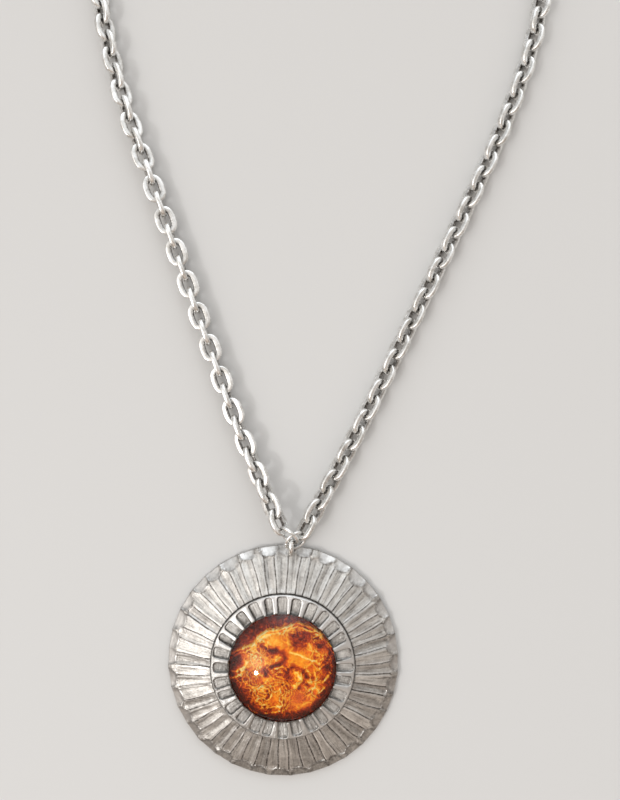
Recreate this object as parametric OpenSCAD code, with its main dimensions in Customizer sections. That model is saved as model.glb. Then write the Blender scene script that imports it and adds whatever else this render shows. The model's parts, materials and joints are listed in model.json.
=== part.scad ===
// Pendant necklace, laid flat with its clasp undone.
// The origin is the centre of the pendant's back. +Z comes out of its face and +Y points to the bail.

/* [Pendant] */
// Diameter of the cast disc
pendant_d = 50; // [46:1:60]
// Height of the rim's upright edge before the scallops are cut
rim_h = 1.3; // [1.2:0.1:1.8]
// Height of the dome where it meets the collar
shoulder_h = 4.9; // [4.4:0.1:5.4]
// Number of gouged flutes round the disc
flutes = 54; // [40:1:60]
// Depth of a flute
flute_depth = 0.42; // [0.3:0.02:0.5]
// Number of scallops round the rim
scallops = 36; // [28:1:40]
// Length of a scallop, from the rim inwards
scallop_l = 1.9; // [1.4:0.1:2.2]

/* [Setting] */
// Diameter of the collar round the stone
collar_d = 31.8; // [30:0.2:33]
// Number of pockets in the collar
pockets = 28; // [20:1:30]
// Diameter of the stone at its girdle
stone_d = 24; // [22:0.2:25]
// Height of the stone's dome above its girdle
dome_h = 4; // [3:0.2:5]

/* [Chain] */
// Length of a link over all
link_l = 6.4; // [5.8:0.1:7]
// Width of a link over all
link_w = 4.5; // [4.3:0.1:5]
// Width of a link's flattened wire, in the plane of the link
wire_w = 1.35; // [1.2:0.05:1.4]
// Thickness of a link's flattened wire
wire_t = 1.1; // [0.9:0.05:1.1]
// Number of five-link lengths in each strand
lengths = 13; // [11:1:15]

/* [Fittings] */
// Wire diameter of the bail
bail_wire = 1.15; // [1:0.05:1.3]
// Wire diameter of the jump rings
ring_wire = 0.75; // [0.6:0.05:0.8]
// Diameter of the clasp over its case
clasp_d = 8.7; // [8.4:0.1:10]
// Diameter of the tag's hole for the clasp
tag_hole = 3.4; // [3:0.1:4]

/* [Hidden] */
$fn = 64;

// Clearances: a set piece in its seat, and one loop in the next
seat_gap = 0.03;
loop_gap = 0.06;

// Dome of the disc: the sphere through the rim's edge and the shoulder
pendant_r = pendant_d / 2;
collar_r = collar_d / 2;
dome_z = (pow(pendant_r, 2) + pow(rim_h, 2) - pow(collar_r, 2) - pow(shoulder_h, 2)) / 2 / (rim_h - shoulder_h);
dome_r = norm([collar_r, shoulder_h - dome_z]);
function dome_at(r) = dome_z + sqrt(pow(dome_r, 2) - pow(r, 2));

// Turn of the first scallop from the top
scallop_turn = -1.7;

// Setting, from the back up: floor of the stone's pocket, foil, stone, seat of the collar
pocket_z = 2.2;
foil_t = 0.2;
stone_z = pocket_z + foil_t + seat_gap;
girdle_z = shoulder_h + 0.7;
collar_seat_z = shoulder_h - 1.7;
stone_r = stone_d / 2;
stone_dome_r = (pow(stone_r, 2) + pow(dome_h, 2)) / 2 / dome_h;

// Pockets of the collar
collar_lip = 0.3;
collar_slope = 13.5;
collar_pocket = [3.5, 1.9, 0.65];

// Bail: a ring through the rim, a little clockwise from the top, just clear of the ground
bail_turn = -4;
bail_r = 1.9;
bail_out = 0.5;
bail_lift = 0.12;
bail_centre = [
    -(pendant_r + bail_out) * sin(bail_turn),
    (pendant_r + bail_out) * cos(bail_turn),
    bail_r + bail_wire / 2 + bail_lift
];

// Jump rings, those at the ends as tall as a link on edge. A step is the way from one bearing point, where
// two loops meet, to the next.
ring_r = 2.3;
ring_step = 2 * ring_r - ring_wire - loop_gap;
end_ring_r = (link_w - ring_wire) / 2 - 0.02;
end_ring_step = 2 * end_ring_r - ring_wire - loop_gap;
bail_gap = 0.15;

// How the two rings hang on the bail: the place round the bail, the ring's heading and roll, then in the
// ring's own plane the way from the bail to its centre and from there to the first link
left_hang = [42.1, 140.2, -60.5, -32.3, -0.4];
right_hang = [56.5, 39.3, 45.9, -50.8, 7.7];

// Links, and the same step
link_step = link_l - 2 * wire_w - loop_gap;
links = 5 * lengths;

// Run of each strand: heading and roll at some of its links, with the links between them in even steps.
// The last link lies flat.
end_base_roll = links % 2 == 1 ? 180 : 90;
left_headings = [[0, 114], [3, 113.2], [8, 109.8], [16, 109.2], [24, 110.2], [30, 102.5], [36, 98.4], [65, 135]];
left_base_rolls = [[0, 52], [10, 90], [18, 90], [30, 135], [links - 15, 135], [links - 1, end_base_roll]];
right_headings = [[0, 60.5], [3, 61.2], [8, 63.7], [16, 64.1], [24, 65.3], [30, 71.1], [36, 84.8], [65, 45]];
right_base_rolls = [[0, 124.6], [8, 135], [links - 15, 135], [links - 1, end_base_roll]];

// Clasp: a tube bent into a ring, with a gap that a sliding bolt closes. Angles run from the side away
// from the chain.
tube_d = 1.9;
clasp_r = (clasp_d - tube_d) / 2;
bolt_d = 1.04;
bolt_gap = 0.06;
mouth = [37, 83];
bolt_arc = [31, 125];
bolt_travel = 52;
knob_at = 110;
bore_end = 235;
eye_r = 1.45;
eye_wire = 0.8;

// Tag
tag_t = 0.8;
tag_web = 1;
tag_eye = 2.1;

// Hand-cut unevenness: a repeatable value from -1 to 1 for each index
function uneven(i, seed) = sin(i * 137.5 + seed * 71) * cos(i * 49.3 + seed * 23);
function sum_to(list, n) = n <= 0 ? 0 : list[n - 1] + sum_to(list, n - 1);

module pendant_disc() {
    color("slategray") difference() {
        intersection() {
            translate([0, 0, dome_z]) sphere(r = dome_r);
            cylinder(r = pendant_r, h = 2 * shoulder_h);
        }
        translate([0, 0, collar_seat_z]) cylinder(r = collar_r + seat_gap, h = 2 * shoulder_h);
        translate([0, 0, pocket_z]) cylinder(r = stone_r + seat_gap, h = 2 * shoulder_h);
        flute_cuts();
        scallop_cuts();
        bail_loop(bail_wire + 2 * seat_gap);
    }
}

// Gouges of uneven width, each as wide as its share of the circle less a thin ridge
module flute_cuts() {
    shares = [for (i = [0:flutes - 1]) 1 + 0.22 * uneven(i, 1)];
    total = sum_to(shares, flutes);
    for (i = [0:flutes - 1]) {
        share = 360 * shares[i] / total;
        middle = 360 * (sum_to(shares, i) + shares[i] / 2) / total;
        rotate([0, 0, middle]) flute(0.94 * share, 0.25 * uneven(i, 2));
    }
}

// One gouge along the dome: a cone that widens outwards and ends in a ball
module flute(angle, longer) {
    r_in = collar_r - 0.5;
    r_out = pendant_r - scallop_l - 1.1 + longer;
    ball_in = gouge_radius(2 * r_in * sin(angle / 2));
    ball_out = gouge_radius(2 * r_out * sin(angle / 2));
    z_in = dome_at(r_in) - flute_depth + ball_in;
    z_out = dome_at(r_out) - flute_depth + ball_out;
    slope = atan2(z_out - z_in, r_out - r_in);
    translate([r_in, 0, z_in]) rotate([0, 90 - slope, 0])
        cylinder(r1 = ball_in, r2 = ball_out, h = norm([r_out - r_in, z_out - z_in]));
    translate([r_out, 0, z_out + 0.15 * ball_out]) sphere(r = 1.15 * ball_out);
}

// Radius of the gouge that leaves a flute of this width at the set depth
function gouge_radius(width) = (pow(width, 2) / 4 + pow(flute_depth, 2)) / 2 / flute_depth;

// Thumbnail bevels round the rim, cut by tilted cylinders, the first of them near the bail
module scallop_cuts() {
    r_top = pendant_r - scallop_l;
    low = 0.72 * rim_h;
    slope = atan2(dome_at(r_top) - low, scallop_l);
    width = 0.8 * PI * pendant_d / scallops;
    depth = (rim_h - low) * cos(slope);
    for (i = [0:scallops - 1]) {
        radius = (pow(width / 2, 2) + pow(depth, 2)) / 2 / depth * (1 + 0.1 * uneven(i, 3));
        rotate([0, 0, 90 + scallop_turn + 360 / scallops * (i + 0.12 * uneven(i, 4))])
            translate([pendant_r, 0, low]) rotate([0, slope, 0])
                translate([0, 0, radius]) rotate([0, 90, 0]) cylinder(r = radius, h = 12, center = true);
    }
}

module bezel_collar() {
    color("gainsboro") difference() {
        rotate_extrude() polygon([
            [stone_r - collar_lip, collar_seat_z + seat_gap],
            [collar_r, collar_seat_z + seat_gap],
            [collar_r, shoulder_h + 0.15],
            [collar_r - 0.3, shoulder_h + 0.45],
            [collar_r - 0.9, shoulder_h + 0.65],
            [stone_r + 0.4, girdle_z + 0.65],
            [stone_r - collar_lip, girdle_z + 0.5]
        ]);
        stone_body(seat_gap);
        for (i = [0:pockets - 1])
            rotate([0, 0, 360 / pockets * (i + 0.1 * uneven(i, 5))]) collar_pocket_cut(1 + 0.12 * uneven(i, 6));
    }
}

module collar_pocket_cut(wider) {
    translate([stone_r + 0.4, 0, girdle_z + 0.65]) rotate([0, collar_slope, 0])
        translate([collar_pocket.x / 2 - 1, 0, 0])
            cube([collar_pocket.x + 0.6, collar_pocket.y * wider, 2 * collar_pocket.z], center = true);
}

// Girdle and dome of the stone, grown by a clearance
module stone_body(grow) {
    translate([0, 0, stone_z - grow]) cylinder(r = stone_r + grow, h = girdle_z - stone_z + grow);
    intersection() {
        translate([0, 0, girdle_z + dome_h - stone_dome_r]) sphere(r = stone_dome_r + grow);
        translate([0, 0, girdle_z]) cylinder(r = stone_r + grow, h = dome_h + 1);
    }
}

module cabochon() {
    color("orange", 0.6) stone_body(0);
}

module foil_backing() {
    color("goldenrod") translate([0, 0, pocket_z]) cylinder(r = stone_r, h = foil_t);
}

// Ring of round wire in the XY plane
module ring(radius, wire) {
    rotate_extrude() translate([radius, 0]) circle(d = wire);
}

module bail_loop(wire) {
    translate(bail_centre) rotate([0, 90, 0]) ring(bail_r, wire);
}

module bail() {
    color("silver") bail_loop(bail_wire);
}

// Places: a loop from bearing point a to bearing point b, turned about its own length
module between(a, b, roll) {
    d = b - a;
    translate((a + b) / 2) rotate([0, -atan2(d.z, norm([d.x, d.y])), atan2(d.y, d.x)]) rotate([roll, 0, 0]) children();
}

// Jump ring on edge
module end_ring(a, b) {
    color("silver") between(a, b, 90) ring(end_ring_r, ring_wire);
}

// Flattened round wire
module wire_section() {
    intersection() {
        circle(d = wire_w);
        square([2 * wire_w, wire_t], center = true);
    }
}

module link() {
    side = (link_w - wire_w) / 2;
    straight = link_l - link_w;
    for (end = [0, 180])
        rotate([0, 0, end]) {
            translate([straight / 2, 0, 0]) rotate([0, 0, -90])
                rotate_extrude(angle = 180) translate([side, 0]) wire_section();
            translate([-straight / 2, side, 0]) rotate([90, 0, 90])
                linear_extrude(height = straight) wire_section();
        }
}

// Each link is rolled by a quarter turn against the one before
function roll_at(base_rolls, k) = lookup(k, base_rolls) + 90 * (k % 2);
function strand_rolls(base_rolls) = [for (k = [0:links - 1]) roll_at(base_rolls, k)];

// Height at which a link with this roll, and its neighbour across it, just touch the ground
function rest_height(roll) =
    let (c = max(abs(cos(roll)), abs(sin(roll))), s = min(abs(cos(roll)), abs(sin(roll))))
    c * link_w / 2 + s * wire_t / 2;

// Bearing points along a strand, which is level at its first link and then sinks to its rest height
sink_rate = 0.35;
function direction(heading) = [cos(heading), sin(heading), 0];
function sink_at(p, base_rolls, k) = k == 0 ? 0 : sink_rate * (rest_height(lookup(k, base_rolls)) - p.z);
function step_from(p, headings, base_rolls, k) =
    let (dz = sink_at(p, base_rolls, k))
    p + sqrt(pow(link_step, 2) - pow(dz, 2)) * direction(lookup(k, headings)) + [0, 0, dz];
function strand_points(first, headings, base_rolls) =
    [for (k = 0, p = first; k <= links; p = step_from(p, headings, base_rolls, k), k = k + 1) p];

// A ring on the bail: a direction in its own plane, its centre, and the point that the strand bears on
function in_ring(hang, angle) =
    cos(angle) * direction(hang[1])
    + sin(angle) * (cos(hang[2]) * direction(hang[1] + 90) + [0, 0, sin(hang[2])]);
function ring_centre(hang) =
    bail_centre + bail_r * [0, cos(hang[0]), sin(hang[0])]
    + (ring_r - (ring_wire + bail_wire) / 2 - bail_gap) * in_ring(hang, hang[3]);
function off_ring(hang) = ring_centre(hang) + ring_step / 2 * in_ring(hang, hang[4]);

left_points = strand_points(off_ring(left_hang), left_headings, left_base_rolls);
right_points = strand_points(off_ring(right_hang), right_headings, right_base_rolls);
left_rolls = strand_rolls(left_base_rolls);
right_rolls = strand_rolls(right_base_rolls);

module bail_ring(hang) {
    color("silver") translate(ring_centre(hang)) rotate([0, 0, hang[1]]) rotate([hang[2], 0, 0])
        ring(ring_r, ring_wire);
}

module chain_length(points, rolls, index) {
    color("silver") for (k = [5 * index - 5:5 * index - 1])
        between(points[k], points[k + 1], rolls[k]) link();
}

// Ends of the strands: a jump ring across the last link, then the clasp or the tag, sloping to the ground
left_end = left_points[links];
right_end = right_points[links];
left_end_heading = lookup(links - 1, left_headings);
right_end_heading = lookup(links - 1, right_headings);
left_ring_end = left_end + end_ring_step * direction(left_end_heading);
right_ring_end = right_end + end_ring_step * direction(right_end_heading);

// From the bearing point, the clasp lies along X and leans down until its far side touches the ground
eye_x = eye_r - eye_wire / 2 - loop_gap / 2;
eye_reach = clasp_r + tube_d / 2 + eye_r + eye_wire / 2 - 0.2;
clasp_x = eye_x + eye_reach;
clasp_lean = asin((left_end.z - tube_d / 2) / (clasp_x + clasp_r));
module clasp_place() {
    translate(left_ring_end) rotate([0, clasp_lean, left_end_heading]) translate([clasp_x, 0, 0]) children();
}

// Arc of round bar along the clasp's tube
module tube_arc(from, to, d) {
    rotate([0, 0, from]) rotate_extrude(angle = to - from) translate([clasp_r, 0]) circle(d = d);
}

module clasp_case() {
    bore = bolt_d + 2 * bolt_gap;
    color("silver") clasp_place() difference() {
        union() {
            tube_arc(mouth[1], mouth[0] + 360, tube_d);
            translate([-eye_reach, 0, 0]) ring(eye_r, eye_wire);
        }
        tube_arc(mouth[1] - 1, bore_end, bore);
        tube_arc(bolt_arc[0] - 2, mouth[0] + 1, bore);
        rotate([0, 0, knob_at - 7]) rotate_extrude(angle = bolt_travel + 14)
            translate([clasp_r + 0.2, -0.31]) square([tube_d, 0.62]);
    }
}

module clasp_bolt() {
    color("silver") clasp_place() {
        tube_arc(bolt_arc[0], bolt_arc[1], bolt_d);
        rotate([0, 0, knob_at]) translate([clasp_r, 0, 0]) rotate([0, 90, 0]) cylinder(d = 0.5, h = tube_d / 2 + 0.5);
        rotate([0, 0, knob_at]) translate([clasp_r + tube_d / 2 + 0.5, 0, 0]) sphere(d = 0.9);
    }
}

// The coil behind the bolt, as a sleeve of the coil's outer and inner size
module clasp_spring() {
    color("silver") clasp_place() rotate([0, 0, bolt_arc[1] + 0.5])
        rotate_extrude(angle = bore_end - bolt_arc[1] - 1) translate([clasp_r, 0]) difference() {
            circle(d = bolt_d);
            circle(d = bolt_d - 0.5);
        }
}

tag_eye_x = tag_eye / 2 - loop_gap / 2;
tag_hole_x = tag_eye_x + tag_eye / 2 + tag_web + tag_hole / 2;
tag_lean = asin((right_end.z - tag_t / 2) / (tag_hole_x + tag_hole / 2 + tag_web));
module end_tag() {
    color("silver") translate(right_ring_end) rotate([0, tag_lean, right_end_heading])
        linear_extrude(height = tag_t, center = true) difference() {
            union() {
                translate([tag_eye_x, 0]) circle(d = tag_eye + 2 * tag_web);
                translate([tag_hole_x, 0]) circle(d = tag_hole + 2 * tag_web);
            }
            translate([tag_eye_x, 0]) circle(d = tag_eye);
            translate([tag_hole_x, 0]) circle(d = tag_hole);
        }
}

pendant_disc();
bezel_collar();
foil_backing();
cabochon();
bail();
bail_ring(left_hang);  // bail_ring_left
bail_ring(right_hang);  // bail_ring_right
for (i = [1:lengths]) {
    chain_length(left_points, left_rolls, i);
    chain_length(right_points, right_rolls, i);
}
end_ring(left_end, left_ring_end);  // clasp_jump_ring
clasp_case();
clasp_bolt();
clasp_spring();
end_ring(right_end, right_ring_end);  // tag_jump_ring
end_tag();
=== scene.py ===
"""Looks of the pendant necklace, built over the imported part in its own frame.

Every length in the classes is in millimetres. Meshes are in metres, as the frame is. A way round the
pendant is in radians, from +X towards +Y.
"""

from __future__ import annotations

import json
import logging
import math
from dataclasses import dataclass
from enum import Enum, IntEnum

import bmesh
import bpy
import numpy as np
from bmesh.types import BMEdge, BMesh, BMVert
from bpy.types import Material, Mesh, Node, NodeSocket, NodeTree, Object
from mathutils import Matrix, Vector, noise

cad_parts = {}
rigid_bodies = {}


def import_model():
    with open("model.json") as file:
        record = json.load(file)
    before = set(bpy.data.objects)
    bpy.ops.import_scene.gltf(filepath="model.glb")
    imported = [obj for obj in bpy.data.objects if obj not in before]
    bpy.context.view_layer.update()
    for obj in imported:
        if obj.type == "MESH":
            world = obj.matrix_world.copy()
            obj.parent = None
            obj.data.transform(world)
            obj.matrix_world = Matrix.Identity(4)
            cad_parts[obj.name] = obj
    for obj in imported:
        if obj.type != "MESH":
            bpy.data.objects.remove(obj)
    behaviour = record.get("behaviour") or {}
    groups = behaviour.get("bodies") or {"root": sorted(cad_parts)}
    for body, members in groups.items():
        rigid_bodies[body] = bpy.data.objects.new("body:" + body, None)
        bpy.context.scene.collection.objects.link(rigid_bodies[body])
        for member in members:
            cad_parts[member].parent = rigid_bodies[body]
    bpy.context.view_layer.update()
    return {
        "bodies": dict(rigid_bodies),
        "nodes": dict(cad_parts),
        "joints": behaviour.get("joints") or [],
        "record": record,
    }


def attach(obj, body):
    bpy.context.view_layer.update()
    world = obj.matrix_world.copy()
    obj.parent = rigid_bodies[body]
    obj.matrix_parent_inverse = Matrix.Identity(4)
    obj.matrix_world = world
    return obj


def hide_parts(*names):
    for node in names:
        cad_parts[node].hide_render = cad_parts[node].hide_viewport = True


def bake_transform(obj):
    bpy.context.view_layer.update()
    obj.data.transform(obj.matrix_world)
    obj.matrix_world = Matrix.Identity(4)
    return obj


MM = 0.001
MERGE = 1e-8
FAR = 9.0
LOG = logging.getLogger("necklace")

Array = np.ndarray
Triple = tuple[float, float, float]
Line = tuple[tuple[float, float], ...]


class Slot(Enum):
    """Material slots of the record."""

    PEWTER = "pewter"
    SILVER = "silver"
    STONE = "stone"
    FOIL = "foil"


class Side(Enum):
    """The two strands of the chain."""

    LEFT = "left"
    RIGHT = "right"


class Trait(IntEnum):
    """What the hand-cut details are uneven in. The numbers are seeds."""

    FLUTE_WIDTH = 1
    FLUTE_END = 2
    SCALLOP_WIDTH = 3
    SCALLOP_PLACE = 4
    POCKET_PLACE = 5
    POCKET_WIDTH = 6
    FLUTE_DEPTH = 7
    POCKET_DEPTH = 8
    LEAN = 9
    POCKET_CREST = 11
    POCKET_TONE = 12
    GROOVE = 13
    STROKE = 14
    SECOND_STROKE = 16
    POCKET_END = 17
    SCALLOP_LENGTH = 18
    POCKET_SLANT = 21
    FLUTE_TONE = 22


def uneven(index: Array | int, seed: int) -> Array | float:
    """Gives the repeatable unevenness, from -1 to 1, that the hand-cut details share.

    Args:
        index: Number of the detail round the pendant.
        seed: A trait, or a number that stands for one.

    Returns:
        The unevenness for each index.
    """
    i = np.asarray(index, float)
    return np.sin(np.radians(i * 137.5 + seed * 71)) * np.cos(np.radians(i * 49.3 + seed * 23))


def smooth_step(low: float, high: float, x: Array) -> Array:
    """Rises smoothly from 0 at low to 1 at high."""
    t = np.clip((x - low) / (high - low), 0, 1)
    return t * t * (3 - 2 * t)


def bump_at(x: Array, centre: float, width: float) -> Array:
    """A bell of height 1 about a centre."""
    return np.exp(-(((x - centre) / width) ** 2))


def facing(turn: Array, way: float) -> Array:
    """How far places round the pendant lie a given way: 1 there, 0 from a quarter turn off."""
    return np.maximum(0, np.cos(turn - way))


def out_of(points: Array) -> Array:
    """Distance of each point from the Z axis."""
    return np.hypot(points[:, 0], points[:, 1])


def columns_of(points: Array, columns: int) -> Array:
    """Number of the column of a spun mesh that each point is in."""
    turn = np.arctan2(points[:, 1], points[:, 0])
    return np.rint(turn / math.tau * columns).astype(int) % columns


def rough_at(points: Array, scale: float, seed: float) -> Array:
    """Samples smooth noise.

    Args:
        points: One point a row, in mm.
        scale: Features to the millimetre.
        seed: Shift that tells one noise from another.

    Returns:
        The noise at each point, from about -1 to 1.
    """
    shift = Vector((seed, 2.3 * seed, -1.7 * seed))
    return np.array([noise.noise(Vector(p) * scale + shift) for p in points])


def edges_in(geometry: list) -> list[BMEdge]:
    """Picks the edges out of what an operator returns."""
    return [g for g in geometry if isinstance(g, BMEdge)]


def clean(bm: BMesh) -> None:
    """Merges a mesh's doubles and turns its faces outwards."""
    bmesh.ops.remove_doubles(bm, verts=bm.verts, dist=MERGE)
    bmesh.ops.recalc_face_normals(bm, faces=bm.faces)


def spun(profile: list[tuple[float, float]], steps: int, closed: bool) -> BMesh:
    """Spins a profile all the way round Z.

    Args:
        profile: Radius and height of each point, in mm.
        steps: Columns of faces round the axis.
        closed: Whether the last point joins the first.

    Returns:
        The spun mesh, with its doubles merged and its faces outwards.
    """
    bm = bmesh.new()
    verts = [bm.verts.new((r * MM, 0, z * MM)) for r, z in profile]
    edges = [bm.edges.new(pair) for pair in zip(verts, verts[1:])]
    if closed:
        edges.append(bm.edges.new((verts[-1], verts[0])))
    bmesh.ops.spin(bm, geom=verts + edges, cent=(0, 0, 0), axis=(0, 0, 1), angle=math.tau, steps=steps,
                   use_merge=True)
    clean(bm)
    return bm


def make_piece(name: str, bm: BMesh, finish: Material) -> Object:
    """Turns a bmesh into a smooth-shaded object at the origin.

    Args:
        name: Name of the piece.
        bm: The mesh, which is freed.
        finish: Material of the whole piece.

    Returns:
        The new object.
    """
    mesh = bpy.data.meshes.new(name)
    bm.to_mesh(mesh)
    bm.free()
    mesh.shade_smooth()
    mesh.materials.append(finish)
    piece = bpy.data.objects.new(name, mesh)
    bpy.context.scene.collection.objects.link(piece)
    return piece


def seat(piece: Object, body: str, slot: Slot, *nodes: str) -> None:
    """Lets a piece ride on a body in place of its CAD nodes, and reports it.

    Args:
        piece: The finished piece.
        body: Body that carries it.
        slot: Material slot that it stands for; not used.
        nodes: CAD nodes that it replaces.
    """
    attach(piece, body)
    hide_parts(*nodes)
    LOG.info("%s rides on %s", piece.name, body)


def points_of(mesh: Mesh) -> Array:
    """Reads a mesh's vertices, one a row, in mm."""
    flat = np.empty(3 * len(mesh.vertices), np.float32)
    mesh.vertices.foreach_get("co", flat)
    return flat.reshape(-1, 3).astype(float) / MM


def move_points(mesh: Mesh, points: Array) -> None:
    """Writes a mesh's vertices back, from mm."""
    mesh.vertices.foreach_set("co", (points * MM).astype(np.float32).ravel())
    mesh.update()


def mark_points(mesh: Mesh, name: str, values: Array) -> None:
    """Stores a value at each vertex for a material to read."""
    layer = mesh.attributes.new(name, "FLOAT", "POINT")
    layer.data.foreach_set("value", np.clip(values, 0, 1).astype(np.float32))


def map_round(mesh: Mesh, middle: float = 20.0) -> None:
    """Lays a map named round over a spun mesh: the way round it and the way out, both in mm.

    Args:
        mesh: A mesh about the Z axis.
        middle: Radius at which the way round is in true millimetres.
    """
    points = points_of(mesh)
    corner = np.empty(len(mesh.loops), np.int32)
    mesh.loops.foreach_get("vertex_index", corner)
    count = np.empty(len(mesh.polygons), np.int32)
    mesh.polygons.foreach_get("loop_total", count)
    angle = np.arctan2(points[:, 1], points[:, 0])[corner]
    first = np.repeat(angle[np.cumsum(count) - count], count)
    angle += math.tau * np.rint((first - angle) / math.tau)
    layer = mesh.uv_layers.new(name="round")
    layer.uv.foreach_set("vector", np.c_[middle * angle, out_of(points)[corner]].astype(np.float32).ravel())


class Tree:
    """A node tree that is filled node by node."""

    def __init__(self, tree: NodeTree) -> None:
        """Empties the tree of a material, a group or the world."""
        self.tree = tree
        tree.nodes.clear()

    def add(self, kind: str, links: dict | None = None, values: dict | None = None, **settings) -> Node:
        """Adds a node.

        Args:
            kind: Type of the node without the word ShaderNode.
            links: Output socket for each of its inputs, by name or place.
            values: Value of each of its unlinked inputs, by name or place.
            settings: Properties of the node itself.

        Returns:
            The node.
        """
        node = self.tree.nodes.new(kind if kind.startswith("Node") else "ShaderNode" + kind)
        for name, value in settings.items():
            setattr(node, name, value)
        for name, value in (values or {}).items():
            node.inputs[name].default_value = value
        for name, socket in (links or {}).items():
            self.tree.links.new(socket, node.inputs[name])
        return node

    def give(self, socket: NodeSocket, value) -> None:
        """Feeds an input from another socket, or sets it to a number or a colour."""
        if isinstance(value, NodeSocket):
            self.tree.links.new(value, socket)
        else:
            socket.default_value = (*value, 1) if isinstance(value, tuple) else value

    def mix(self, factor, low, high) -> NodeSocket:
        """Mixes two colours, each a socket or a plain colour, by the share of the second."""
        node = self.add("Mix", {0: factor}, data_type="RGBA")
        for place, colour in ((6, low), (7, high)):
            self.give(node.inputs[place], colour)
        return node.outputs[2]

    def span(self, value, low: float, high: float, to_low: float, to_high: float) -> NodeSocket:
        """Maps a value's range, from low to high, onto another one, with its ends held."""
        ends = {1: low, 2: high, 3: to_low, 4: to_high}
        return self.add("MapRange", {0: value}, ends).outputs[0]

    def maths(self, operation: str, *values) -> NodeSocket:
        """Works out a named operation on sockets and numbers."""
        node = self.add("Math", operation=operation)
        for place, value in enumerate(values):
            self.give(node.inputs[place], value)
        return node.outputs[0]

    def plus(self, first, second) -> NodeSocket:
        """Adds two sockets or numbers."""
        return self.maths("ADD", first, second)

    def minus(self, first, second) -> NodeSocket:
        """Takes the second of two sockets or numbers from the first."""
        return self.maths("SUBTRACT", first, second)

    def times(self, first, second) -> NodeSocket:
        """Multiplies two sockets or numbers."""
        return self.maths("MULTIPLY", first, second)

    def noise(self, vector, scale, **values) -> Node:
        """Adds a noise texture, whose scale is a socket or a number."""
        node = self.add("TexNoise", {"Vector": vector}, values)
        self.give(node.inputs["Scale"], scale)
        return node

    def ramp(self, value, stops: tuple[tuple[float, Triple], ...]) -> NodeSocket:
        """Turns a value into a colour, by the place and colour of each stop in order."""
        node = self.add("ValToRGB", {0: value})
        band = node.color_ramp.elements
        while len(band) < len(stops):
            band.new(1.0)
        for element, (place, colour) in zip(band, stops):
            element.position = place
            element.color = (*colour, 1)
        return node.outputs[0]


class SharedEffects:
    """Node groups that more than one finish uses."""

    def __init__(self) -> None:
        """Builds the groups once."""
        self.grain = self._cast_grain()
        self.tarnish = self._tarnish()
        self.scratches = self._scratches()
        self.strokes = self._strokes()

    @staticmethod
    def _open(name: str, inputs: tuple[str, ...], outputs: tuple[str, ...]) -> tuple[Tree, list]:
        """Starts a group that works on a vector and some numbers.

        Args:
            name: Name of the group.
            inputs: Names of its numbers, after the vector.
            outputs: Names of its results.

        Returns:
            The tree and the sockets of what is given to it, the vector first.
        """
        group = bpy.data.node_groups.new(name, "ShaderNodeTree")
        tree = Tree(group)
        group.interface.new_socket(name="Vector", in_out="INPUT", socket_type="NodeSocketVector")
        for way, names in (("INPUT", inputs), ("OUTPUT", outputs)):
            for socket in names:
                group.interface.new_socket(name=socket, in_out=way, socket_type="NodeSocketFloat")
        return tree, list(tree.add("NodeGroupInput").outputs)

    @staticmethod
    def _close(tree: Tree, **results) -> NodeTree:
        """Links a group's results to its output, by name, and gives the group."""
        tree.add("NodeGroupOutput", results)
        return tree.tree

    def _cast_grain(self) -> NodeTree:
        """Fine pitting and broad blotches of a cast surface."""
        tree, (vector, scale, *_) = self._open("cast_grain", ("Scale",), ("Height", "Blotch"))
        fine = tree.noise(vector, scale, Detail=5.0, Roughness=0.62)
        blotch = tree.noise(vector, tree.times(scale, 0.17), Detail=3.0, Distortion=0.6)
        return self._close(tree, Height=fine.outputs[0], Blotch=blotch.outputs[0])

    def _tarnish(self) -> NodeTree:
        """Dark tarnish and painted shade where the mark hollow asks for it, broken up by noise."""
        tree, (vector, hollow, scale, *_) = self._open("tarnish", ("Hollow", "Scale"), ("Mask",))
        speck = tree.noise(vector, scale, Detail=4.0, Roughness=0.6)
        return self._close(tree, Mask=tree.times(hollow, tree.span(speck.outputs[0], 0.28, 0.62, 0.35, 1.15)))

    def _scratches(self) -> NodeTree:
        """Short hairlines that lie every way."""
        tree, (vector, scale, *_) = self._open("scratches", ("Scale",), ("Height",))
        lines = 0.0
        for turn in (0.4, 1.9, 2.8):
            laid = tree.add("Mapping", {0: vector}, {"Rotation": (0.3, 0.2, turn), "Scale": (1, 0.06, 1)})
            hair = tree.noise(laid.outputs[0], scale, Detail=2.0)
            lines = tree.maths("MAXIMUM", lines, tree.span(hair.outputs[0], 0.62, 0.70, 0, 1))
        return self._close(tree, Height=lines)

    def _strokes(self) -> NodeTree:
        """Long tool marks that run out from the middle, on the map named round."""
        tree, (vector, scale, *_) = self._open("strokes", ("Scale",), ("Fine", "Broad"))
        laid = tree.add("Mapping", {0: vector}, {"Scale": (1, 0.07, 1)}).outputs[0]
        fine = tree.noise(laid, scale, Detail=4.0, Roughness=0.65)
        broad = tree.noise(laid, tree.times(scale, 0.3), Detail=2.0)
        return self._close(tree, Fine=fine.outputs[0], Broad=broad.outputs[0])


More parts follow.
